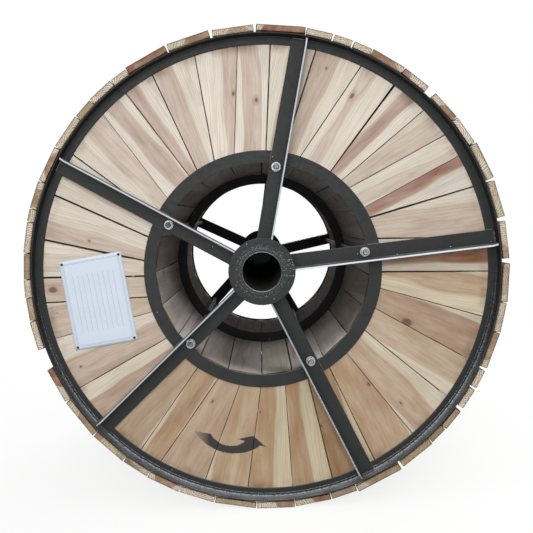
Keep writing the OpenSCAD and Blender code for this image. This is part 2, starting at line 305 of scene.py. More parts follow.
def both_sides(name, points, node, **more):
    """Makes a piece of the front flange and its twin of the back one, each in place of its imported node."""
    for side in SIDES:
        skin(f"{side}_{name}", facing(points, side), [f"{side}_{node}"] if node else (), **more)


disc_low, disc_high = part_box("front_hub_disc")
disc_profile = eased([(PIPE_R + DISC_FIT, disc_low[1]), (PIPE_R + DISC_SCUFF, disc_low[1]),
                      (DISC_R, disc_low[1]), (DISC_R, disc_high[1]), (PIPE_R + DISC_FIT, disc_high[1])],
                     DISC_EDGE)
both_sides("hub_plate", turned(disc_profile, ROUND_STEPS), "hub_disc", ring=True,
           bare=DISC_BARE + DISC_SCUFF_BARE * (disc_profile[:, 0] < PIPE_R + DISC_SCUFF))

# Spokes
# Five equal-leg angle irons a side: one leg lies flat on the ring and the rim, the other stands outward.
# The standing leg is trimmed to a slope at the rim, and its toe is rubbed to bright metal by handling.
# Each spoke's toe has its own brightness, painted shade for how the light falls on that spoke.
SPOKE_LEG = 50 * MM
SPOKE_T = 5 * MM
SPOKE_ROOT = 4 * MM
SPOKE_HEEL = 16 * MM
SPOKE_SLOPE = 26 * MM
SPOKE_REACH = 742.8 * MM
SPOKE_START = 70.85 * MM
SPOKE_TOE = 2.2 * MM
SPOKE_EDGE = 0.8 * MM
SPOKE_RUB = 4.5 * MM
TOE_SHARE = 0.6
LIP_RISE = 26 * MM
ROD_AT_R = 334 * MM
ROD_ACROSS = 28 * MM - SPOKE_HEEL
ROD_ALONG = np.sqrt(ROD_AT_R ** 2 - ROD_ACROSS ** 2)
SPOKE_COUNT = 5
SPOKE_TURN = np.radians(4.7 + 72 * np.arange(SPOKE_COUNT))
SPOKE_LEAN = np.radians(72 * np.array([-0.014, 0, -0.002, 0.008, 0.014]))
SPOKE_STATIONS = 15
SLOPE_STATIONS = 6
# How bright each toe is: wear, and painted shade for the light on each spoke, dullest at the lower right
TOE_WEAR_AND_SHADE = (1.0, 0.75, 0.8, 0.72, 0.62)
spoke_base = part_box("front_spoke_1")[1][1]
leg_left, leg_right, leg_inside = -SPOKE_HEEL, SPOKE_LEG - SPOKE_HEEL, SPOKE_T - SPOKE_HEEL
spoke_outline = eased([(leg_left, 0), (leg_right, 0), (leg_right, SPOKE_T), (leg_inside, SPOKE_T),
                       (leg_inside, SPOKE_LEG - SPOKE_RUB), (leg_inside, SPOKE_LEG), (leg_left, SPOKE_LEG),
                       (leg_left, SPOKE_LEG - SPOKE_RUB)],
                      [SPOKE_EDGE, SPOKE_EDGE, SPOKE_TOE, SPOKE_ROOT,
                       FINE_CUT, SPOKE_TOE, SPOKE_EDGE, FINE_CUT])


def spoke_frame(number):
    """The directions along and across a spoke, and the point that its own (along, across) are counted from.

    A spoke is turned by its place in the wheel and leans a little about its tie rod, which stays put.
    """
    turn = SPOKE_TURN[number] + SPOKE_LEAN[number]
    outward = np.array([np.cos(turn), 0, np.sin(turn)])
    sideways = np.array([-np.sin(turn), 0, np.cos(turn)])
    return outward, sideways, rod_at(number + 1) - ROD_ALONG * outward - ROD_ACROSS * sideways


def out_to(radius, across, outward, sideways, origin):
    """How far along a spoke its line at a place across it meets a circle round the axis, by Pythagoras."""
    return np.sqrt(radius ** 2 - (across + origin @ sideways) ** 2) - origin @ outward


def on_spoke(along, across, height, outward, sideways, origin):
    """Places points of a spoke's own frame: along it, across it, and out from its base."""
    return (origin + along[..., None] * outward + across[..., None] * sideways
            + (spoke_base - height)[..., None] * np.array([0, 1, 0]))


def spoke_points(number):
    """Carries the angle outline from the pipe to the rim along one spoke.

    Each line of the outline runs from the pipe's circle to the reach circle. Where it nears the rim, points
    of the toe sink so that the standing leg's height falls in a straight slope to the height of the lip.
    """
    where = spoke_frame(number)
    across, rise = spoke_outline.T
    straight = np.linspace(0, 1, SPOKE_STATIONS)[:, None]
    sloped = np.linspace(0, 1, SLOPE_STATIONS)[1:, None]
    start = out_to(SPOKE_START, across, *where)
    knee = out_to(SPOKE_REACH, across, *where) - SPOKE_SLOPE
    along = np.concatenate([start + straight * (knee - start), knee + sloped * SPOKE_SLOPE])
    drop = np.concatenate([0 * straight, sloped]) * (SPOKE_LEG - LIP_RISE)
    return on_spoke(along, across + 0 * along, rise - drop * (rise > SPOKE_LEG / 2), *where)


on_toe = spoke_outline[:, 1] > SPOKE_LEG - TOE_SHARE * SPOKE_RUB
for side in SIDES:
    for number, toe_bare_and_shade in enumerate(TOE_WEAR_AND_SHADE):
        node = f"{side}_spoke_{number + 1}"
        skin(f"{node}_angle", facing(spoke_points(number), side), [node], bare=toe_bare_and_shade * on_toe)

# Inner rings
# Flat steel rings that lie over the inner ends of the flange planks, under the spokes.
INNER_RING_R = np.array([344.6, 385]) * MM
PLATE_T = 4 * MM
PLATE_EDGE = 0.8 * MM
face_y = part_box("front_inner_ring")[1][1]


def flat_ring(radii, low, high, edge, steps):
    """A flat ring: the rounded rectangle between two radii and two places along Y, carried round the axis."""
    return turned(eased([(radii[0], high), (radii[1], high), (radii[1], low), (radii[0], low)], edge), steps)


both_sides("ring_plate", flat_ring(INNER_RING_R, face_y - PLATE_T, face_y, PLATE_EDGE, 2 * ROUND_STEPS),
           "inner_ring", ring=True, bare=0.0)

# Rims
# Angle iron rolled to a ring: one leg lies flat on the plank ends, the other stands outward as a lip.
# The lip is rubbed towards its root, with a scored line beside it. These pale lines are strongest in the
# lower half, a painted highlight where they face up into the light from above.
RIM_R = 750 * MM
RIM_LEG = 30 * MM
RIM_ROOT = 3 * MM
RIM_TOE = 1.8 * MM
LIP_LINE = 3 * MM
RIM_STEPS = 3 * ROUND_STEPS
rim_corners = [(RIM_R - RIM_LEG, face_y), (RIM_R, face_y), (RIM_R, face_y - RIM_LEG),
               (RIM_R - PLATE_T, face_y - RIM_LEG), (RIM_R - PLATE_T, face_y - PLATE_T),
               *((RIM_R - PLATE_T - lines * LIP_LINE, face_y - PLATE_T) for lines in (2, 3, 4)),
               (RIM_R - RIM_LEG, face_y - PLATE_T)]
rim_cuts = [PLATE_EDGE, PLATE_EDGE, PLATE_EDGE, RIM_TOE, RIM_ROOT, FINE_CUT, FINE_CUT, FINE_CUT, RIM_TOE]
# The share of bare metal at each corner
RIM_BARE = (0, 0, 0.15, 0.4, 0.6, 0.1, 0.64, 0.1, 0)
rim_outline = eased(rim_corners, rim_cuts)
rim_bare = np.repeat(RIM_BARE, len(rim_outline) // len(RIM_BARE))
# Painted highlight: the bare lines fade towards the top and are strongest in the lower half, as if lit from
# above
LOWER_HIGHLIGHT_MEAN = 0.55
LOWER_HIGHLIGHT_SWING = 0.6
LOWER_HIGHLIGHT_LIMITS = (0.2, 0.9)
painted_lower_highlight = np.clip(LOWER_HIGHLIGHT_MEAN - LOWER_HIGHLIGHT_SWING * np.sin(turns(RIM_STEPS)), *LOWER_HIGHLIGHT_LIMITS)
both_sides("rim_angle", turned(rim_outline, RIM_STEPS), "rim", ring=True, bare=painted_lower_highlight * rim_bare)

# Weld beads
# Arc-welded fillets: one round each pipe mouth, and short runs where the spokes cross the ring and the rim.
# The short runs are rippled, dull grey and burnt brown; the bead round the mouth is painted and rubbed.
WELD_RIPPLE = 5 * MM
RIPPLE_SHARE = 0.16
RIPPLE_PHASE = 6
BEAD_UNEVEN = 0.14
BEAD_SIDES = 10
weld_metal = mottled("rippled_weld_metal", dark="#3d3530", pale="#6d6a66", patch=WELD_RIPPLE, detail=4.0,
                     even={"Metallic": 0.6, "Roughness": 0.5})[0]
rng = np.random.default_rng(11)


def beads(paths, sides, size):
    """Tubes along paths (bead, point, xyz): the radius swells and ripples along the run.

    The outline's circle lies in the plane of the path's sideways vector and of its cross with the run.
    """
    run = np.gradient(paths, axis=1)
    run = run / np.linalg.norm(run, axis=-1, keepdims=True)
    across = np.broadcast_to(sides, paths.shape)
    across = across - np.sum(across * run, axis=-1, keepdims=True) * run
    across = across / np.linalg.norm(across, axis=-1, keepdims=True)
    rise = np.cross(run, across)
    count, points = paths.shape[:2]
    far = np.cumsum(np.linalg.norm(np.diff(paths, axis=1, prepend=paths[:, :1]), axis=-1), axis=1)
    ripple = RIPPLE_SHARE * np.sin(ROUND * far / WELD_RIPPLE + rng.uniform(0, RIPPLE_PHASE, (count, 1)))
    radius = size * (1 + ripple + BEAD_UNEVEN * rng.standard_normal((count, points)))
    turn = turns(BEAD_SIDES)
    ring = np.cos(turn) * across[:, :, None] + np.sin(turn) * rise[:, :, None]
    return paths[:, :, None] + radius[:, :, None, None] * ring


MOUTH_BEAD = 4.2 * MM
MOUTH_POINTS = 240
MOUTH_WELD_BARE = 0.42
SEAM_BEAD = 2.6 * MM
SEAM_POINTS = 18
SEAM_ENDS = (0.06, 0.94)
SEAM_SIDE = np.array([0.31, 0.2, 0.93])
mouth_path = turned(np.array([(PIPE_R, disc_low[1])]), MOUTH_POINTS)
mouth_path = np.concatenate([mouth_path, mouth_path[:1]]).swapaxes(0, 1)


def spoke_seams(number):
    """Short straight runs in the spoke's own frame (along, across, height): both edges of the flat leg over
    the ring and over the rim, its end, and both faces of the standing leg's end."""
    where = spoke_frame(number)
    edges = [[(r, across, 0) for r in span] for span in (INNER_RING_R, (RIM_R - RIM_LEG, SPOKE_REACH))
             for across in (leg_left, leg_right)]
    foot, top = SPOKE_T, LIP_RISE - PLATE_T
    ends = [[(SPOKE_REACH, *first), (SPOKE_REACH, *last)]
            for first, last in (((leg_inside, foot), (leg_right, foot)), ((leg_left, 0), (leg_left, top)),
                                ((leg_inside, foot), (leg_inside, top)))]
    ends = np.array(edges + ends)
    ends[..., 0] = out_to(ends[..., 0], ends[..., 1], *where)
    share = np.linspace(*SEAM_ENDS, SEAM_POINTS)[None, :, None]
    local = ends[:, :1] * (1 - share) + ends[:, 1:] * share
    return on_spoke(*np.moveaxis(local, -1, 0), *where)


seams = np.concatenate([spoke_seams(number) for number in range(SPOKE_COUNT)])
for side in SIDES:
    skin(f"{side}_mouth_weld", facing(beads(mouth_path, mouth_path, MOUTH_BEAD), side), bare=MOUTH_WELD_BARE)
    skin(f"{side}_spoke_welds", facing(beads(seams, SEAM_SIDE, SEAM_BEAD), side), finish=weld_metal)

# Spatter on the hub: frozen drops of weld metal, thick by the mouth and beside the right-hand spoke.
# A drop is a low half round: rings of falling radius and rising height over its centre.
SPATTER_COUNT = 60
SPATTER_SIZE = (0.5 * MM, 1.4 * MM)
SPATTER_BARE = 0.65
BY_MOUTH = 0.45
BY_SPOKE_TURN = (0.12, 0.2)
BY_SPOKE_EDGE = (3 * MM, 20 * MM)
MOUTH_SPREAD = 6 * MM
DROP_RISE = np.radians([0, 30, 55, 75, 88])
DROP_HEIGHT = 0.8
DROP_SIDES = 8
drop = np.column_stack([np.cos(DROP_RISE), -DROP_HEIGHT * np.sin(DROP_RISE)])
drop = turned(drop, DROP_SIDES).swapaxes(0, 1)
near_mouth = rng.random(SPATTER_COUNT) < BY_MOUTH
drop_turn = np.where(near_mouth, rng.uniform(0, ROUND, SPATTER_COUNT),
                     rng.normal(*BY_SPOKE_TURN, SPATTER_COUNT))
drop_out = np.where(near_mouth, PIPE_R + MOUTH_BEAD + rng.exponential(MOUTH_SPREAD, SPATTER_COUNT),
                    DISC_R - rng.uniform(*BY_SPOKE_EDGE, SPATTER_COUNT))
drop_out = np.minimum(drop_out, DISC_R - 2 * SPATTER_SIZE[1])
drop_at = np.column_stack([drop_out * np.cos(drop_turn), np.full(SPATTER_COUNT, disc_low[1]),
                           drop_out * np.sin(drop_turn)])
drop_size = rng.uniform(*SPATTER_SIZE, SPATTER_COUNT)
spatter = drop_at[:, None, None] + drop_size[:, None, None, None] * drop
both_sides("hub_spatter", spatter, None, bare=SPATTER_BARE)

# Flange planks
# Tapered boards of a pale softwood like Chinese fir, sawn and left raw, laid side by side round the barrel.
# Each shows cream sapwood beside pink-brown heartwood, a few knots, and a slightly worn edge.
PLANK_EDGE = 1.3 * MM
WEAR_SWING = 0.7
WEAR_LIMITS = (0.35, 2)
BOARD_WEAR = (0.6, 1.7)
EDGE_ROUND = 0.29
FACE_SHARES = np.array([0.3, 0.5, 0.7])
WAVE_COUNT = 4
WAVE_PACE = 1.3


def boards_of(node, start, face):
    """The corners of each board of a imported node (board, along, across, through, xyz), round from a start.

    Triangles' points are merged by place, and points that share triangles take one label, the lowest among
    them. A board's grain runs out from the axis where its face looks sideways, and otherwise along the axis.
    Halves along the grain, across it by the turn about the axis, and through to the face order the corners.
    """
    mesh = frame["nodes"][node].data
    points = np.empty(3 * len(mesh.vertices))
    mesh.vertices.foreach_get("co", points)
    corner = np.empty(len(mesh.loops), dtype=int)
    mesh.loops.foreach_get("vertex_index", corner)
    merged, same = np.unique(np.round(points.reshape(-1, 3), 5), axis=0, return_inverse=True)
    triangles = same.ravel()[corner].reshape(-1, 3)
    label = np.arange(len(merged))
    settled = False
    while not settled:
        lower = label.copy()
        np.minimum.at(lower, triangles, label[triangles].min(axis=1, keepdims=True))
        settled = np.array_equal(lower, label)
        label = lower
    loose = np.stack([merged[label == one] for one in np.unique(label)])
    middle = loose.mean(axis=1)
    first = np.arctan2(middle[:, 2], middle[:, 0])
    x, y, z = np.moveaxis(loose, -1, 0)
    radius = np.hypot(x, z)
    turn = (np.arctan2(z, x) - first[:, None] + np.pi) % ROUND - np.pi
    along, through = {"sideways": (radius, np.abs(y)), "inwards": (y, -radius), "outwards": (y, radius)}[face]
    far = along > along.mean(axis=1, keepdims=True)
    near_mean, far_mean = ((turn * half).sum(axis=1, keepdims=True) / 4 for half in (~far, far))
    right = turn > np.where(far, far_mean, near_mean)
    front = through > through.mean(axis=1, keepdims=True)
    order = np.argsort(4 * far + 2 * right + front, axis=1)
    corners = np.take_along_axis(loose, order[..., None], axis=1).reshape(-1, 2, 2, 2, 3)
    return corners[np.argsort((first - start) % ROUND)]


def waves(count, s):
    """A smooth random wave along each board: a few sines of falling size with random phases."""
    number = np.arange(1, WAVE_COUNT + 1)
    phase = rng.uniform(0, ROUND, (count, 1, WAVE_COUNT))
    return (np.sin(ROUND * WAVE_PACE * number * s[None, :, None] + phase) / number).sum(axis=-1) / 2


def boards(corners, edge, stations):
    """The surface of sawn boards with rounded, worn edges, and the place of each point in its own timber.

    A point is the mix of the eight corners by its shares along, across and through the board. Round the
    section the shares go along each face and turn each edge by a short curve as wide as the edge, which
    swells and shrinks along the board. The first and last stations are drawn in by the edge.
    """
    turnings = []
    for at, going in (((1, 0), (1, 0)), ((1, 1), (0, 1)), ((0, 1), (-1, 0)), ((0, 0), (0, -1))):
        at, going = np.array(at), np.array(going)
        leaving = np.array([-going[1], going[0]])
        offsets = np.array([-going, EDGE_ROUND * (leaving - going), leaving])
        turnings.append(np.column_stack([np.tile(at, (3, 1)), offsets]))
    low_face = np.column_stack([FACE_SHARES, np.zeros((3, 3))])
    high_face = np.column_stack([FACE_SHARES[::-1], np.ones(3), np.zeros((3, 2))])
    section = np.concatenate([low_face, *turnings[:2], high_face, *turnings[2:]])
    middle = np.linspace(0, 1, stations)[1:-1]
    s_share = np.concatenate([[0, 0], middle, [1, 1]])
    s_step = np.concatenate([[0, 1], 0 * middle, [-1, 0]])
    count = len(corners)
    length = np.linalg.norm(corners[:, 1] - corners[:, 0], axis=-1).mean(axis=(1, 2))[:, None, None]
    wide = np.linalg.norm(corners[:, :, 1] - corners[:, :, 0], axis=-1).mean(axis=2)
    thick = np.linalg.norm(corners[:, :, :, 1] - corners[:, :, :, 0], axis=-1).mean(axis=(1, 2))
    thick = thick[:, None, None]
    worn = edge * np.clip(1 + WEAR_SWING * waves(count, s_share), *WEAR_LIMITS)[:, :, None]
    worn = worn * rng.uniform(*BOARD_WEAR, (count, 1, 1))
    s = s_share[None, :, None] + s_step[None, :, None] * worn / length
    width = wide[:, :1, None] * (1 - s) + wide[:, 1:, None] * s
    tip = np.zeros((len(s_share), 1))
    tip[[0, -1]] = 1
    t, w = (np.clip(section[:, at] + section[:, at + 2] * worn / size,
                    tip * worn / size, 1 - tip * worn / size) for at, size in enumerate((width, thick)))
    s = np.broadcast_to(s, t.shape)
    shares = [np.stack([1 - share, share]) for share in (s, t, w)]
    points = np.einsum("anij,bnij,cnij,nabcx->nijx", *shares, corners)
    timber = np.stack([s * length, (t - 0.5) * width, (w - 0.5) * thick], axis=-1)
    return points, timber, wide, thick[:, 0, 0], length[:, 0, 0]


# Raw sawn softwood: the surface is cut from a log, so its colour follows the distance from the pith, with
# heartwood inside a radius, streaks along the grain, fine fibre, and dirt that settles in broad patches.
# A noise is its run along the grain and across it, its detail and its roughness
STREAK = (220 * MM, 11 * MM, 4.0, 0.6)
FIBRE = (160 * MM, 2.4 * MM, 2.0, 0.5)
BLOTCH = (150 * MM, 40 * MM, 5.0, 0.6)
DIRT = (320 * MM, 90 * MM, 7.0, 0.7)
RING_SPACING = 6 * MM
BEND_RUN = 380 * MM
BEND_ACROSS = 100 * MM
BEND_BY = 42 * MM
SEAM_DARK = "#33291f"
SEAM_DIRT = 2.4 * MM
TORN = 5 * MM
GRAIN_HIGH = 0.8 * MM
KNOT_LONG = 1.6
RING_SHARE = 0.2
KNOT_CORE = (1.15, 0.6, 0, 0.8)
KNOT_HALO = (3.0, 1.0, 0, 0.4)
HEART_EDGE = (3 * MM, -3 * MM)
HEART_LINE = (5 * MM, 0, 0, 0.35)
HEART_BLOTCH = (0.3, 0.7, 0.65, 1.15)
STREAKED = (0.45, 0.75, 0)
LATE_WOOD = (0.5, 0.95, 0)
FIBRE_TONE = (0.3, 0.7, 0.9, 1.06)
BLOTCH_TONE = (0.3, 0.7, 1.05, 0.93)
DIRTY = (0.54, 0.7, 0, 0.32)
TORN_EDGE = (5 * MM, 12 * MM, 0, 0.3)
TORN_SPAN = (0.5, 0.7, 0, 0.7)
SEAM_PACKED = (0.38, 0.6, 0.1, 0.95)
SEAM_SPAN = (SEAM_DIRT, SEAM_DIRT / 3, 0)


def sawn_timber(name, sap, heart, late, knot_colour, dirt, streak_share, end_rings):
    """A softwood finish that reads the attributes grain, log, tone, knot, end and brink of each board.

    sap and heart are pairs of colours, and the third number of tone mixes the first with the second. The
    finish comes with its add, shader, place and colour, so that stains can be laid over the wood.
    """
    finish, add, shader, place = finish_named(name)
    grain, log, tone, knot = (add("Attribute", attribute_name=key).outputs["Vector"]
                              for key in ("grain", "log", "tone", "knot"))
    end, brink = (add("Attribute", attribute_name=key).outputs["Fac"] for key in ("end", "brink"))
    heart_r = add("SeparateXYZ", [log])
    knot_r = add("SeparateXYZ", [knot]).outputs[2]
    value, strength, hue = add("SeparateXYZ", [tone]).outputs
    slow = add("Mapping", {"Vector": grain, "Scale": (1 / BEND_RUN, 1 / BEND_ACROSS, 1 / BEND_ACROSS)})
    drift = add("TexNoise", {"Vector": slow, "Scale": 1.0, "Detail": 2.0})
    centred = add("VectorMath SUBTRACT", [drift.outputs["Color"], (0.5, 0.5, 0.5)])
    bent = add("VectorMath MULTIPLY_ADD", [centred, (0, BEND_BY, BEND_BY), grain])
    drawn = []
    for along, noise in ((bent, STREAK), (grain, FIBRE), (grain, BLOTCH), (grain, DIRT)):
        run, across, detail, rough = noise
        slim = add("Mapping", {"Vector": along, "Scale": (1 / run, 1 / across, 1 / across)})
        drawn.append(add("TexNoise", {"Vector": slim, "Scale": 1.0, "Detail": detail, "Roughness": rough}))
    streak, fibre, blotch, patch = drawn
    # A knot is an oval of darker wood with darker grain beside it; rings go by the way from the pith
    far = []
    for spot, shape in ((knot, (1 / KNOT_LONG, 1, 0)), (log, (0, 1, 1))):
        off = add("VectorMath SUBTRACT", [bent, spot])
        off = add("VectorMath MULTIPLY", [off, shape])
        far.append(add("VectorMath LENGTH", [off]))
    knot_share = add("Math DIVIDE", [far[0], knot_r])
    knot_core, knot_halo = (add("MapRange", [knot_share, *span], **SMOOTH)
                            for span in (KNOT_CORE, KNOT_HALO))
    past = add("Math SUBTRACT", [far[1], heart_r])
    in_heart = add("MapRange", [past, *HEART_EDGE], **SMOOTH)
    for share in (add("MapRange", [blotch, *HEART_BLOTCH]), strength):
        in_heart = add("Math MULTIPLY", [in_heart, share])
    sapwood, heartwood = (add("Mix", {0: hue, 6: linear(first), 7: linear(second)}, **COLOUR)
                          for first, second in (sap, heart))
    wood = add("Mix", {0: in_heart, 6: sapwood, 7: heartwood}, clamp_factor=False, **COLOUR)
    streaked = add("MapRange", [streak, *STREAKED, streak_share])
    grown = add("Math MULTIPLY_ADD", [far[1], 1 / RING_SPACING, streak])
    season = add("Math FRACT", [grown])
    ring_depth = add("MapRange", [end, 0, 1, RING_SHARE, end_rings])
    ringed = add("MapRange", [season, *LATE_WOOD, ring_depth], **SMOOTH)
    lined = add("MapRange", [add("Math ABSOLUTE", [past]), *HEART_LINE])
    lined = add("Math MULTIPLY", [lined, strength])
    for mask, shade in ((streaked, late), (ringed, late), (lined, late), (knot_halo, late),
                        (knot_core, knot_colour)):
        wood = add("Mix", {0: mask, 6: wood, 7: linear(shade)}, **COLOUR)
    for noise, span in ((fibre, FIBRE_TONE), (blotch, BLOTCH_TONE)):
        value = add("Math MULTIPLY", [add("MapRange", [noise, *span]), value])
    wood = add("HueSaturation", {"Color": wood, "Value": value})
    # The saw tears a cut end: it is flecked all over, and darkest along its outer and inner edges
    fleck = add("TexNoise", {"Vector": place, "Scale": 1 / TORN, "Detail": 5.0, "Roughness": 0.7})
    deep = add("Math ABSOLUTE", [add("SeparateXYZ", [grain]).outputs[2]])
    torn = add("Math ADD", [fleck, add("MapRange", [deep, *TORN_EDGE])])
    torn = add("Math MULTIPLY", [add("MapRange", [torn, *TORN_SPAN]), end])
    soil = add("Math MAXIMUM", [add("MapRange", [patch, *DIRTY]), torn])
    # Dust packs into the joints: a dark line along the edges of each board, stronger in places
    packed = add("MapRange", [patch, *SEAM_PACKED])
    for mask, shade in ((soil, dirt), (add("MapRange", [brink, *SEAM_SPAN, packed]), SEAM_DARK)):
        wood = add("Mix", {0: mask, 6: wood, 7: linear(shade)}, **COLOUR)
    height = add("Math ADD", [fibre, streak])
    relief = add("Bump", {"Height": height, "Strength": 0.35, "Distance": GRAIN_HIGH})
    add(shader, {"Base Color": wood, "Roughness": 0.8, "Specular IOR Level": 0.2, "Normal": relief})
    return finish, add, shader, place, wood


# The pith's depth and the knots' size are in mm, and the grain's shift is in metres
PITH_DEPTH = (15, 60)
GRAIN_SLANT = 0.05
GRAIN_SHIFT = 40
CLEAN_EDGE = (0.7, 4)
LEAST_HEART = 1 * MM
NO_KNOT = (0.5, 0.0, 0.01)
KNOT_ALONG = (0.12, 0.88)
KNOT_ACROSS = (-0.7, 0.7)
KNOT_SIZE = (3, 8)


def timber_values(timber, wide, thick, length, rows, knots):
    """The attributes of sawn boards: the grain's own place, heart radius and pith of the log, tone, knot, and
    the distance from the brink, the nearer long edge, drawn out by a random share where that edge is clean.

    A row holds the middle of the heartwood across the board and its half width, as shares of half the
    board's width, its strength, the board's tone and its hue. The pith lies a random depth under the face,
    at which the heartwood shows over that width, and the grain runs at a small random slant. A knot is its
    shares along and across, and its radius in mm.
    """
    count = len(timber)
    middle, reach, strength, tone, hue = rows.T
    along, across, knot_r = knots.T
    depth = rng.uniform(*PITH_DEPTH, count) * MM
    slant = rng.uniform(-GRAIN_SLANT, GRAIN_SLANT, count)
    shift = rng.uniform(0, GRAIN_SHIFT, count)
    clean = rng.uniform(*CLEAN_EDGE, (2, count, 1, 1))
    half = wide.mean(axis=1) / 2
    heart_r = np.hypot(np.maximum(reach * half, LEAST_HEART), depth)
    half_there = (wide[:, 0] * (1 - along) + wide[:, 1] * along) / 2
    knot_across = across * half_there + slant * (along - 0.5) * length
    share = timber[..., 0] / length[:, None, None]
    width = wide[:, :1, None] * (1 - share) + wide[:, 1:, None] * share
    brink = np.minimum((width / 2 + timber[..., 1]) * clean[0], (width / 2 - timber[..., 1]) * clean[1])
    skewed = slant[:, None, None] * (timber[..., 0] - length[:, None, None] / 2)
    grain = timber + np.stack([shift[:, None, None] + 0 * skewed, skewed, 0 * skewed], axis=-1)
    even = {"log": (heart_r, middle * half, thick / 2 - depth), "tone": (tone, strength, hue),
            "knot": (shift + along * length, knot_across, knot_r * MM)}
    return {"grain": grain, "brink": brink, **{key: np.column_stack(three)[:, None, None]
                                               for key, three in even.items()}}


def random_knots(count, share):
    """A small knot at a random place on that share of the boards, and one too small to see on the others."""
    along, across = rng.uniform(*KNOT_ALONG, count), rng.uniform(*KNOT_ACROSS, count)
    return np.column_stack([along, across,
                            np.where(rng.random(count) < share, rng.uniform(*KNOT_SIZE, count), NO_KNOT[2])])


flange_timber, add, shader, place, wood = sawn_timber(
    "raw_sawn_fir", ("#e4dcd1", "#d0c2a4"), ("#ae9085", "#ad8b67"), "#9c7f6c", "#6b4a3a", "#97856f",
    streak_share=0.24, end_rings=0.3)

# Rain and rust run down from the rim and leave a brown stain on the plank ends in places
STAIN = "#74593f"
STAIN_REACH = (685 * MM, 722 * MM)
STAIN_PATCH = 75 * MM
STAIN_BLOT = (0.45, 0.68, 0, 0.65)
flat = add("VectorMath MULTIPLY", [place, (1, 0, 1)])
out = add("VectorMath LENGTH", [flat])
blot = add("TexNoise", {"Vector": place, "Scale": 1 / STAIN_PATCH, "Detail": 5.0})
near_rim = add("MapRange", [out, *STAIN_REACH], **SMOOTH)
stain = add("Math MULTIPLY", [near_rim, add("MapRange", [blot, *STAIN_BLOT])])
stained = add("Mix", {0: stain, 6: wood, 7: linear(STAIN)}, **COLOUR)

# The roll arrow is sprayed through a stencil in thin dark paint: a curved bar and a head, in (x, z)
ARROW_PAINT = "#323234"
BAR_OUTER_AT = np.array([-119.4, -451.2]) * MM
BAR_OUTER_R = 150.5 * MM
BAR_INNER_AT = np.array([-131.7, -500.3]) * MM
BAR_INNER_R = 75.5 * MM
ARROW_TAIL = np.array([(-246, -522.5), (-199, -533)]) * MM
ARROW_HEAD = np.array([(-111.4, -553.5), (-19.5, -585.9), (-59.9, -545.7)]) * MM
HEAD_LAP = 8 * MM
ARROW_SOFT = 1.3 * MM
ARROW_THIN = (ARROW_TAIL[0, 0], ARROW_TAIL[0, 0] + 40 * MM, 0.35, 0.96)
SPRAY = 7 * MM


def left_of(start, end):
    """How far a point lies left of the line from start to end: its offset dotted with the left normal."""
    run = (end - start) / np.linalg.norm(end - start)
    normal = np.array([-run[1], 0, run[0]])
    reach = add("VectorMath DOT_PRODUCT", [place, tuple(normal)])
    return add("Math SUBTRACT", [reach, float(normal[[0, 2]] @ start)])


from_outer, from_inner = (add("VectorMath DISTANCE", [flat, (at[0], 0, at[1])])
                          for at in (BAR_OUTER_AT, BAR_INNER_AT))
head_edges = [left_of(ARROW_HEAD[at], ARROW_HEAD[at - 2]) for at in range(3)]
bar_edges = [add("Math SUBTRACT", pair)
             for pair in ([BAR_OUTER_R, from_outer], [from_inner, BAR_INNER_R], [HEAD_LAP, head_edges[0]])]
shapes = []
for inside, *edges in (head_edges, bar_edges + [left_of(*ARROW_TAIL[::-1])]):
    for edge in edges:
        inside = add("Math MINIMUM", [inside, edge])
    shapes.append(inside)
in_arrow = add("Math MAXIMUM", shapes)
spray = add("TexNoise", {"Vector": place, "Scale": 1 / SPRAY, "Detail": 4.0})
ragged = add("MapRange", [spray, 0, 1, -2 * ARROW_SOFT, 2 * ARROW_SOFT])
sprayed = add("Math ADD", [in_arrow, ragged])
inked = add("MapRange", [sprayed, -ARROW_SOFT, ARROW_SOFT], **SMOOTH)
x, y, _ = add("SeparateXYZ", [place]).outputs
on_front = add("Math LESS_THAN", [y, 0])
for share in (add("MapRange", [x, *ARROW_THIN]), on_front):
    inked = add("Math MULTIPLY", [inked, share])
marked = add("Mix", {0: inked, 6: stained, 7: linear(ARROW_PAINT)}, **COLOUR)
add(shader, {"Base Color": marked})

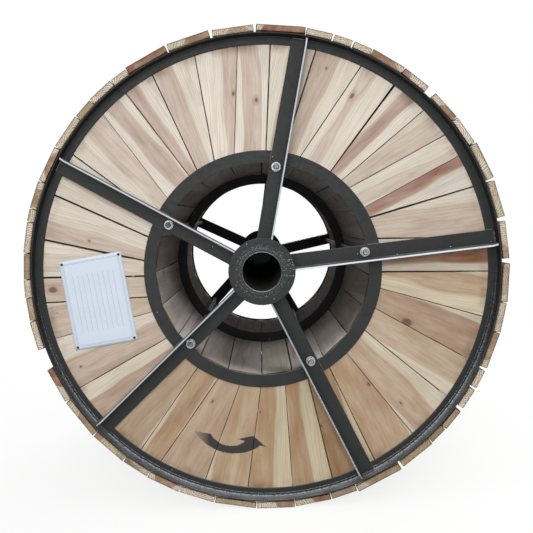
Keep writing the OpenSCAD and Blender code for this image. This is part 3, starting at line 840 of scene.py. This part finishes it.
# One row for each front plank from the right-hand spoke round: where the heartwood's middle lies across the
# plank, its half width, its strength, the plank's tone, and its hue from pinkish to tan. The tones run
# lighter at the top and darker at the bottom, partly the wood and partly painted shade for light falling from
# above
PLANK_SHARES = np.array([
    (-0.4, 1.0, 0.5, 0.97, 0.3), (0.65, 0.65, 1.15, 0.94, 0.1), (-0.5, 0.5, 0.3, 0.97, 0.2),
    (-0.4, 0.8, 0.35, 0.98, 0.35), (0.4, 0.55, 0.85, 1.0, 0.1), (0.35, 0.3, 0.4, 1.02, 0.15),
    (0.65, 0.85, 0.55, 1.06, 0.3), (-0.3, 0.5, 0.65, 1.0, 0.2), (0.0, 0.55, 0.5, 1.04, 0.1),
    (-0.8, 0.6, 0.6, 1.05, 0.1), (0.55, 0.7, 0.5, 1.0, 0.15), (0.6, 0.7, 0.7, 1.0, 0.1),
    (-0.2, 0.45, 0.7, 1.0, 0.1), (-0.7, 0.6, 0.4, 1.02, 0.2), (-0.3, 0.5, 0.5, 1.0, 0.2),
    (0.7, 0.8, 0.5, 0.98, 0.2), (0.0, 0.8, 0.3, 1.0, 0.2), (0.0, 1.2, 0.5, 0.99, 0.3),
    (0.0, 1.3, 0.5, 0.98, 0.3), (0.6, 0.7, 0.65, 0.97, 0.25), (0.6, 0.8, 0.8, 0.97, 0.45),
    (-0.2, 1.3, 0.75, 0.97, 0.7), (0.15, 0.85, 0.9, 0.95, 0.85), (0.1, 1.3, 0.75, 0.95, 0.6),
    (0.1, 1.2, 0.75, 0.95, 0.85), (-0.6, 0.8, 0.85, 0.94, 0.95), (-0.45, 0.6, 1.0, 0.93, 0.95),
    (-0.5, 1.1, 1.15, 0.88, 0.95), (-0.1, 1.3, 0.85, 0.98, 0.8), (-0.3, 0.75, 0.75, 0.98, 0.6),
    (0.3, 0.9, 0.65, 0.98, 0.6), (-0.3, 1.2, 0.95, 0.93, 0.5), (0.65, 0.6, 0.75, 1.02, 0.8),
    (0.0, 0.5, 1.25, 0.93, 0.5)])
# The knots that show, by plank: shares along from the barrel and across, and the radius in mm
PLANK_KNOTS = {1: (0.71, 0.6, 3), 5: (0.7, 0.53, 7), 6: (0.83, 0.34, 3), 8: (0.5, -0.14, 5),
               9: (0.57, -0.79, 5), 15: (0.57, 0.44, 2.5), 17: (0.87, -0.14, 10), 18: (0.87, -0.45, 2),
               19: (0.85, 0.32, 3), 23: (0.29, -0.41, 4), 25: (0.3, -0.88, 3), 27: (0.5, -0.88, 3),
               28: (0.4, 0.74, 5), 29: (0.7, -0.56, 4), 31: (0.37, -0.7, 12)}
PLANKS_FROM = np.radians(6)
PLANK_STATIONS = 20
BACK_KNOTS = 0.45
for side in SIDES:
    corners = boards_of(f"{side}_flange_planks", PLANKS_FROM, "sideways")
    points, *cut = boards(corners, PLANK_EDGE, PLANK_STATIONS)
    count = len(points)
    if side == "front":
        rows = PLANK_SHARES
        knots = np.tile(NO_KNOT, (count, 1))
        knots[list(PLANK_KNOTS)] = list(PLANK_KNOTS.values())
    else:
        rows = PLANK_SHARES[rng.permutation(count)]
        knots = random_knots(count, BACK_KNOTS)
    skin(f"{side}_planks", points, [f"{side}_flange_planks"], flange_timber, "flange_wood",
         **timber_values(*cut, rows, knots))

# Barrel staves
# Narrow boards set edge to edge round the inner rings to make the barrel that the cable is wound on.
# They are greyer than the flanges, rubbed smooth inside, with dark joints.
STAVE_EDGE = 1.6 * MM
STAVE_STATIONS = 16
STAVE_KNOTS = 0.5
STAVES_FROM = np.radians(12)
stave_timber = sawn_timber(
    "greyed_sawn_fir", ("#bdb4b0", "#b4b0a4"), ("#9a8983", "#92897b"), "#857871", "#4d4038", "#70675f",
    streak_share=0.35, end_rings=0.3)[0]
# One row for each stave from the right-hand one round, as for the planks
STAVE_SHARES = np.array([
    (0.2, 0.5, 0.5, 0.92, 0.3), (-0.3, 0.6, 0.5, 0.96, 0.2), (0.4, 0.7, 0.5, 0.96, 0.2),
    (-0.2, 0.4, 0.4, 0.94, 0.0), (0.1, 0.9, 0.5, 0.93, 0.0), (-0.5, 0.5, 0.4, 1.04, 0.3),
    (0.3, 0.8, 0.7, 0.98, 0.0), (0.0, 0.4, 0.4, 1.02, 0.1), (-0.1, 1.2, 0.9, 0.98, 0.1),
    (0.4, 0.8, 0.6, 1.0, 0.6), (-0.4, 0.6, 0.5, 1.0, 0.5), (0.2, 0.6, 0.5, 1.0, 0.2),
    (0.0, 1.2, 0.7, 1.03, 0.1), (-0.2, 0.4, 0.4, 0.97, 0.2), (0.3, 0.5, 0.4, 1.0, 0.9),
    (0.0, 0.6, 0.5, 1.0, 0.4), (-0.3, 0.5, 0.35, 1.06, 0.0), (0.2, 1.0, 0.7, 0.94, 0.8),
    (0.0, 0.8, 0.7, 0.92, 0.6), (0.3, 0.5, 0.5, 0.95, 0.3)])
points, *cut = boards(boards_of("barrel_staves", STAVES_FROM, "inwards"), STAVE_EDGE, STAVE_STATIONS)
skin("stave_boards", points, ["barrel_staves"], stave_timber, "stave_wood",
     **timber_values(*cut, STAVE_SHARES, random_knots(len(points), STAVE_KNOTS)))

# Middle hoop
# A flat steel ring inside the staves, half way along, that keeps them round and steadies the tie rods.
HOOP_R = np.array([309, 347]) * MM
hoop_low, hoop_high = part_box("middle_hoop")
skin("middle_hoop_plate", flat_ring(HOOP_R, hoop_high[1], hoop_low[1], PLATE_EDGE, 2 * ROUND_STEPS),
     ["middle_hoop"], ring=True, bare=0.0)

# Tie rods, washers and nuts
# Threaded bars that draw the two flanges together against the staves, with a washer and nut at each end.
# The bars were painted with the frame; the washers and nuts are zinc plated, a dull silver.
ROD_R = 8 * MM
ROD_SIDES = 20
ROD_TIP_BARE = 0.6
THREAD_PITCH = 2 * MM
THREAD_DEPTH = 0.9 * MM
THREAD_RUN = 60 * MM
ZINC_ROUGH = (0.5, 0.28)
zinc_plate, add, shader, _, spangle, _ = mottled(
    "dull_zinc_plate", dark="#8e9194", pale="#d3d6d8", patch=6 * MM, detail=3.0, even={"Metallic": 0.75})
add(shader, {"Roughness": add("MapRange", [spangle, 0, 1, *ZINC_ROUGH])})
rod_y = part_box("tie_rod_1")[1][1]
crest = np.arange(rod_y - THREAD_RUN, rod_y - ROD_R / 4, THREAD_PITCH / 2)
thread = ROD_R - THREAD_DEPTH * (np.arange(len(crest)) % 2)
half_rod = np.concatenate([np.column_stack([thread, crest]), [(ROD_R - THREAD_DEPTH, rod_y)]])
rod_profile = np.concatenate([(half_rod * np.array([1, -1]))[::-1], half_rod])
rod_tube = turned(rod_profile, ROD_SIDES).swapaxes(0, 1)
rod_tip = np.abs(rod_profile[:, 1:]) > rod_y - 2 * THREAD_PITCH
rod_numbers = range(1, SPOKE_COUNT + 1)
for number in rod_numbers:
    skin(f"tie_rod_{number}_bar", rod_tube + rod_at(number), [f"tie_rod_{number}"],
         bare=ROD_TIP_BARE * rod_tip)

WASHER_R = 15 * MM
WASHER_T = 3 * MM
WASHER_EDGE = 0.6 * MM
WASHER_STEPS = 48
NUT_FLAT_R = 12 * MM
NUT_CAP_R = 1.02 * NUT_FLAT_R
NUT_H = 13 * MM
NUT_CHAMFER = 1.8 * MM
NUT_STEPS = 72
NUT_TURNS = np.radians([4, 23, 41, 12, 52])
seat_y = spoke_base - SPOKE_T
nut_foot = seat_y - WASHER_T
nut_top = nut_foot - NUT_H
# A hexagon nut: the radius at each turn is the hexagon's, held under a cone at the chamfered top
hexagon = NUT_FLAT_R / np.cos((turns(NUT_STEPS) + np.pi / 6) % (np.pi / 3) - np.pi / 6)
capped = np.minimum(hexagon, NUT_CAP_R)
bore = np.full_like(hexagon, ROD_R)
nut_radius = np.concatenate([bore, capped, hexagon, hexagon, capped, bore], axis=1)
nut_rings = [nut_foot, nut_foot, nut_foot - NUT_CHAMFER / 2, nut_top + NUT_CHAMFER, nut_top, nut_top]
nut_profile = np.stack(np.broadcast_arrays(nut_radius, nut_rings), axis=-1)
washer = flat_ring((ROD_R, WASHER_R), nut_foot, seat_y, WASHER_EDGE, WASHER_STEPS)
washers = np.stack([washer + rod_at(number) for number in rod_numbers])
nuts = np.stack([turned(nut_profile, NUT_STEPS, lean) + rod_at(number)
                 for lean, number in zip(NUT_TURNS, rod_numbers)])
for side in SIDES:
    for what, points in (("washers", washers), ("nuts", nuts)):
        skin(f"{side}_rod_{what}", facing(points, side), [f"{side}_{what}"], zinc_plate, "plated_steel",
             ring=True)

# Lagging boards
# Sawn boards laid across both rims to close the drum round its outside, each as long as the drum is wide.
# Their cut ends show in front as a ring of pale end grain, a few of them with a red-brown heart.
LAG_EDGE = 1.2 * MM
LAG_STATIONS = 18
LAG_KNOTS = 0.6
lagging_timber = sawn_timber(
    "raw_sawn_lagging", ("#e8dfcd", "#d0c29f"), ("#9a6f5c", "#8d7555"), "#8f7053", "#5d4030", "#54463a",
    streak_share=0.3, end_rings=0.85)[0]
PLAIN_CREAM = (0.0, 0.2, 0.15, 1.0, 0.2)
# One row for each board from the right-hand one round, as for the planks, with hue from red to tan
LAG_SHARES = np.array([
    (-0.5, 0.5, 0.7, 0.97, 0.3), (0.0, 0.3, 0.2, 0.97, 0.4), (0.3, 0.3, 0.2, 1.0, 0.2),
    (0.0, 0.2, 0.05, 1.06, 0.0), (-0.5, 0.5, 0.9, 0.95, 0.3), (0.6, 0.35, 0.8, 1.0, 0.2),
    (0.25, 0.75, 0.95, 0.95, 0.1), PLAIN_CREAM, PLAIN_CREAM, PLAIN_CREAM, (-0.25, 0.75, 1.1, 0.93, 0.0),
    (0.0, 0.4, 0.6, 0.95, 0.5), (-0.35, 0.65, 0.85, 0.95, 0.4), (0.0, 1.2, 1.1, 0.92, 0.0), PLAIN_CREAM,
    PLAIN_CREAM, (0.0, 1.2, 0.5, 0.93, 0.9), (0.0, 0.2, 0.1, 0.96, 0.3), (0.2, 0.45, 0.9, 1.0, 0.1),
    (0.6, 0.5, 0.8, 0.96, 0.4), PLAIN_CREAM, PLAIN_CREAM, (0.0, 1.2, 0.6, 0.85, 0.8), PLAIN_CREAM,
    (0.0, 1.2, 0.7, 0.95, 0.3), PLAIN_CREAM, (-0.27, 0.35, 1.1, 0.95, 0.1), (0.5, 0.6, 0.7, 0.93, 0.7),
    (-0.7, 0.4, 0.8, 0.93, 0.7), (0.0, 0.5, 0.3, 0.96, 0.7), (-0.3, 0.4, 0.9, 0.98, 0.2),
    (0.0, 0.2, 0.1, 0.96, 0.2), (0.0, 1.2, 0.45, 0.92, 0.8), (0.3, 0.15, 0.9, 0.97, 0.1),
    (0.5, 0.55, 1.0, 0.88, 0.5), (0.0, 1.2, 0.7, 0.85, 0.6), (0.35, 0.7, 0.8, 0.92, 0.6),
    (0.0, 1.2, 0.5, 0.9, 1.0), (0.0, 1.2, 0.8, 0.85, 0.7), (0.0, 1.2, 0.6, 0.95, 0.8), PLAIN_CREAM,
    PLAIN_CREAM, (0.2, 0.8, 0.7, 0.92, 0.6), (0.0, 0.2, 0.1, 0.95, 0.3), (0.0, 0.4, 0.5, 0.98, 0.5)])
points, *cut = boards(boards_of("lagging_boards", 0, "outwards"), LAG_EDGE, LAG_STATIONS)
skin("lagging_planks", points, ["lagging_boards"], lagging_timber, "lagging_wood",
     **timber_values(*cut, LAG_SHARES, random_knots(len(points), LAG_KNOTS)))

# Straps and seals
# Two bands of oiled strapping steel pulled tight round the lagging, each closed by a crimped seal.
STRAP_ROUGH = (0.28, 0.5)
strap_steel, add, shader, _, scuff, _ = mottled(
    "oiled_strapping_steel", dark="#3c4044", pale="#5f6468", patch=14 * MM, detail=4.0,
    even={"Metallic": 1.0})
add(shader, {"Roughness": add("MapRange", [scuff, 0, 1, *STRAP_ROUGH])})
for node in ("front_strap", "back_strap", "strap_seals"):
    solid = frame["nodes"][node]
    solid.data.materials.clear()
    solid.data.materials.append(strap_steel)

# Paper sheet and tacks
# A blank A4 sheet pinned to the left of the front flange by a tack at each corner, lifting a little between.
# A thin double frame and faint plain ruled lines are printed on it.
SHEET_SIZE = np.array([210, 297]) * MM
SHEET_AT = np.array([-544, -73]) * MM
SHEET_TURN = np.radians(7)
SHEET_T = 0.25 * MM
SHEET_OFF = 0.6 * MM
SHEET_LIFT = 3.5 * MM
SIDE_BULGE = 0.35
END_BULGE = 0.25
RIPPLE_BULGE = 0.3
RIPPLE_COUNT = 1.4
RIPPLE_START = 0.1
SHEET_STEPS = (25, 35)
TACK_INSET = 9 * MM
TACK_R = 4.5 * MM
TACK_SIDES = 24
PRINT_GREY = "#8e97a5"
PRINT_LINE = 0.7 * MM
PRINT_DEPTH = 0.8
FRAME_INSET = 10 * MM
FRAME_APART = 3.5 * MM
RULE_SPACING = 17 * MM
RULE_HALF = np.array([70, 95]) * MM
paper, add, shader, _, _, papery = mottled(
    "office_paper", dark="#cad4e2", pale="#d5dfed", patch=5 * MM, detail=3.0, even={"Roughness": 0.7})
spot = add("Attribute", attribute_name="spot").outputs["Vector"]
spot = add("VectorMath ABSOLUTE", [spot])
to_frame = add("VectorMath SUBTRACT", [(*(SHEET_SIZE / 2 - FRAME_INSET), 0), spot])
past_rules = add("VectorMath SUBTRACT", [spot, (*RULE_HALF, 0)])
to_frame, past_rules = (add("Math", add("SeparateXYZ", [vector]).outputs[:2], operation=nearer)
                        for vector, nearer in ((to_frame, "MINIMUM"), (past_rules, "MAXIMUM")))
to_inner = add("Math SUBTRACT", [to_frame, FRAME_APART])
off_rule = add("Math PINGPONG", [add("SeparateXYZ", [spot]), RULE_SPACING / 2])
off_print = add("Math MAXIMUM", [off_rule, past_rules])
for line in (to_frame, to_inner):
    off_line = add("Math ABSOLUTE", [line])
    off_print = add("Math MINIMUM", [off_line, off_print])
printed = add("MapRange", [off_print, PRINT_LINE, PRINT_LINE / 2, 0, PRINT_DEPTH])
inked = add("Mix", {0: printed, 6: papery, 7: linear(PRINT_GREY)}, **COLOUR)
add(shader, {"Base Color": inked})


def on_flange(across, up, out):
    """Places a point of the sheet's own plane on the front flange: turned, moved, and out from the boards."""
    x = SHEET_AT[0] + across * np.cos(SHEET_TURN) - up * np.sin(SHEET_TURN)
    z = SHEET_AT[1] + across * np.sin(SHEET_TURN) + up * np.cos(SHEET_TURN)
    return np.stack(np.broadcast_arrays(x, face_y - SHEET_OFF - out, z), axis=-1)


# The sheet lifts between its tacks by sines over its shares u and v, with a slow ripple
u, v = np.meshgrid(*(np.linspace(0, 1, steps) for steps in SHEET_STEPS), indexing="ij")
ripple = np.sin(ROUND * (RIPPLE_COUNT * v + RIPPLE_START)) ** 2
bulge = np.sin(np.pi * u) * (SIDE_BULGE + RIPPLE_BULGE * ripple) + END_BULGE * np.sin(np.pi * v)
across, up = (u - 0.5) * SHEET_SIZE[0], (v - 0.5) * SHEET_SIZE[1]
points = on_flange(across, up, SHEET_LIFT * bulge)
index = np.arange(u.size).reshape(u.shape)
quads = np.stack([index[:-1, :-1], index[1:, :-1], index[1:, 1:], index[:-1, 1:]], axis=-1).reshape(-1, 4)
mesh = bpy.data.meshes.new("pinned_sheet")
mesh.from_pydata(points.reshape(-1, 3).tolist(), [], quads.tolist())
mesh.polygons.foreach_set("use_smooth", np.ones(len(quads), dtype=bool))
spot = np.stack([across, up, 0 * u], axis=-1).astype(np.float32)
mesh.attributes.new("spot", "FLOAT_VECTOR", "POINT").data.foreach_set("vector", spot.ravel())
mesh.materials.append(paper)
sheet = bpy.data.objects.new("pinned_sheet", mesh)
bpy.context.scene.collection.objects.link(sheet)
thickness = sheet.modifiers.new("thickness", "SOLIDIFY")
thickness.thickness = SHEET_T
thickness.offset = 0
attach(sheet, "root")

tack_profile = np.array([(0.02, 0.0), (1.0, 0.0), (0.95, 0.28),
                         (0.75, 0.45), (0.4, 0.56), (0.02, 0.6)]) * TACK_R
tack = turned(tack_profile, TACK_SIDES).swapaxes(0, 1)
SQUARE = np.array([(-1, -1), (1, -1), (1, 1), (-1, 1)])
tack_at = (SQUARE * (SHEET_SIZE / 2 - TACK_INSET))[:, None, None]
tack_points = on_flange(tack_at[..., 0] + tack[..., 0], tack_at[..., 1] + tack[..., 2], tack[..., 1])
tacks = skin("sheet_tacks", tack_points, bare=0.0)

# Floor, daylight and camera
# A plain white floor that keeps the drum's soft shadow, even overcast light, and the eye of the photograph.
FLOOR_HALF = 60.0
FLOOR_WHITE = "#fafafa"
FLOOR_GREY = "#8a8a88"
SHADOW_ENDS = (1.3, 2.6, 0.8)
WHITE = (1.0, 1.0, 1.0, 1.0)
floor_z = float(cad_box[0][2])


def stage_plate(name, corners, finish):
    """A flat plate of the stage, no part of the object, from its four corners."""
    mesh = bpy.data.meshes.new(name)
    mesh.from_pydata(corners, [], [(0, 1, 2, 3)])
    mesh.materials.append(finish)
    plate = bpy.data.objects.new(name, mesh)
    bpy.context.scene.collection.objects.link(plate)


def seen_directly(add):
    """1 where the eye meets a surface straight, in a mirror or through glass, 0 where it only gives light."""
    rays = add("LightPath").outputs
    seen = rays["Is Camera Ray"]
    for other in ("Is Glossy Ray", "Is Transmission Ray"):
        seen = add("Math MAXIMUM", [seen, rays[other]])
    return seen


floor_finish, add, shader, place = finish_named("white_floor")
seen = seen_directly(add)
pale = add("Mix", {0: seen, 6: linear(FLOOR_GREY), 7: linear(FLOOR_WHITE)}, **COLOUR)
add(shader, {"Base Color": pale, "Roughness": 0.9, "Specular IOR Level": 0.0})
away = add("VectorMath DISTANCE", [place, (0, 0, floor_z)])
bright = add("Math MULTIPLY", [add("MapRange", [away, *SHADOW_ENDS]), seen])
white = add("Emission", {"Color": WHITE, "Strength": 1.0})
add(floor_finish.node_tree.nodes["Material Output"], {"Surface": add("MixShader", [bright, shader, white])})
stage_plate("floor", [(x, y, floor_z) for x, y in (SQUARE * FLOOR_HALF).tolist()], floor_finish)

# Painted shade: a small dark card close behind the pipe, clear from behind, glows dimly so the bore looks
# into a dark room
CARD_HALF = 65 * MM
CARD_BEHIND = 25 * MM
PAINTED_SHADE_DARK = "#101111"
shade_card_finish, add, *_ = finish_named("dark_cloth")
dim = add("Emission", {"Color": linear(PAINTED_SHADE_DARK), "Strength": 1.0})
from_behind = add("NewGeometry").outputs["Backfacing"]
either = add("MixShader", [from_behind, dim, add("BsdfTransparent")])
add(shade_card_finish.node_tree.nodes["Material Output"], {"Surface": either})
stage_plate("dark_backdrop", [(x, pipe_high[1] + CARD_BEHIND, z) for x, z in (SQUARE * CARD_HALF).tolist()],
            shade_card_finish)

# The daylight is strongest from above and weak from behind the drum, where the barrel looks into the dark
SKY_LEVEL = (0, 1, 0.3, 1.6)
SKY_BEHIND = (-0.15, 0.35, 1.0, 0.02)
world = bpy.data.worlds.new("overcast")
bpy.context.scene.world = world
world.use_nodes = True
add = partial(add_node, world.node_tree)
_, y, z = add("SeparateXYZ", [add("TexCoord").outputs["Generated"]]).outputs
by_height, by_side = (add("MapRange", [far, *span], **SMOOTH)
                      for far, span in ((z, SKY_LEVEL), (y, SKY_BEHIND)))
sky = add("Math MULTIPLY", [by_height, by_side])
level = add("MapRange", [seen_directly(add), 0, 1, sky, 1.0])
add(world.node_tree.nodes["Background"], {"Color": WHITE, "Strength": level})

# Each lamp lights one group: the barrel's inside, all else but the back flange, or all else but the front one
INSIDE = ("stave", "middle_hoop", "tie_rod")
barrel, before, behind = (bpy.data.collections.new(f"{where}_pieces")
                          for where in ("barrel", "front", "back"))
for piece in bpy.context.scene.objects:
    inside = piece.name.startswith(INSIDE)
    for group, wanted in ((barrel, inside), (before, not (inside or piece.name.startswith("back_"))),
                          (behind, not (inside or piece.name.startswith("front_")))):
        if wanted and piece.type == "MESH":
            group.objects.link(piece)


def lamp(name, at, power, size, lights):
    """A round soft lamp that faces the middle of the drum and lights one collection of pieces."""
    light = bpy.data.lights.new(name, "AREA")
    light.shape = "DISK"
    light.size = size
    light.energy = power
    holder = bpy.data.objects.new(name, light)
    holder.location = at
    holder.rotation_euler = (-Vector(at)).to_track_quat("-Z", "Y").to_euler()
    holder.light_linking.receiver_collection = lights
    bpy.context.scene.collection.objects.link(holder)


# Broad windows before and behind light the outside; into the barrel light falls only from high in front
lamp("front_window", (-0.4, -4.4, 1.2), power=105.0, size=4.0, lights=before)
lamp("back_window", (1.4, 3.6, 1.3), power=150.0, size=3.5, lights=behind)
lamp("high_window", (1.4, -2.2, 3.9), power=230.0, size=2.5, lights=barrel)

CAMERA_AT = (0.0048, -2.0531, 0.1664)
CAMERA_DOWN = np.radians(2.013)
CAMERA_LEFT = np.radians(2.37)
CAMERA_ROLL = np.radians(3.5)
SENSOR = 36
LENS = 33.46
SHIFT = (0.0482, -0.0553)
eye = bpy.data.cameras.new("eye")
eye.sensor_width = SENSOR
eye.lens = LENS
eye.shift_x, eye.shift_y = SHIFT
camera = bpy.data.objects.new("eye", eye)
camera.location = CAMERA_AT
aim = Matrix.Rotation(CAMERA_LEFT, 3, "Z") @ Matrix.Rotation(np.pi / 2 - CAMERA_DOWN, 3, "X")
camera.rotation_euler = (aim @ Matrix.Rotation(-CAMERA_ROLL, 3, "Z")).to_euler()
bpy.context.scene.collection.objects.link(camera)
bpy.context.scene.camera = camera
bpy.context.scene.view_settings.view_transform = "Standard"
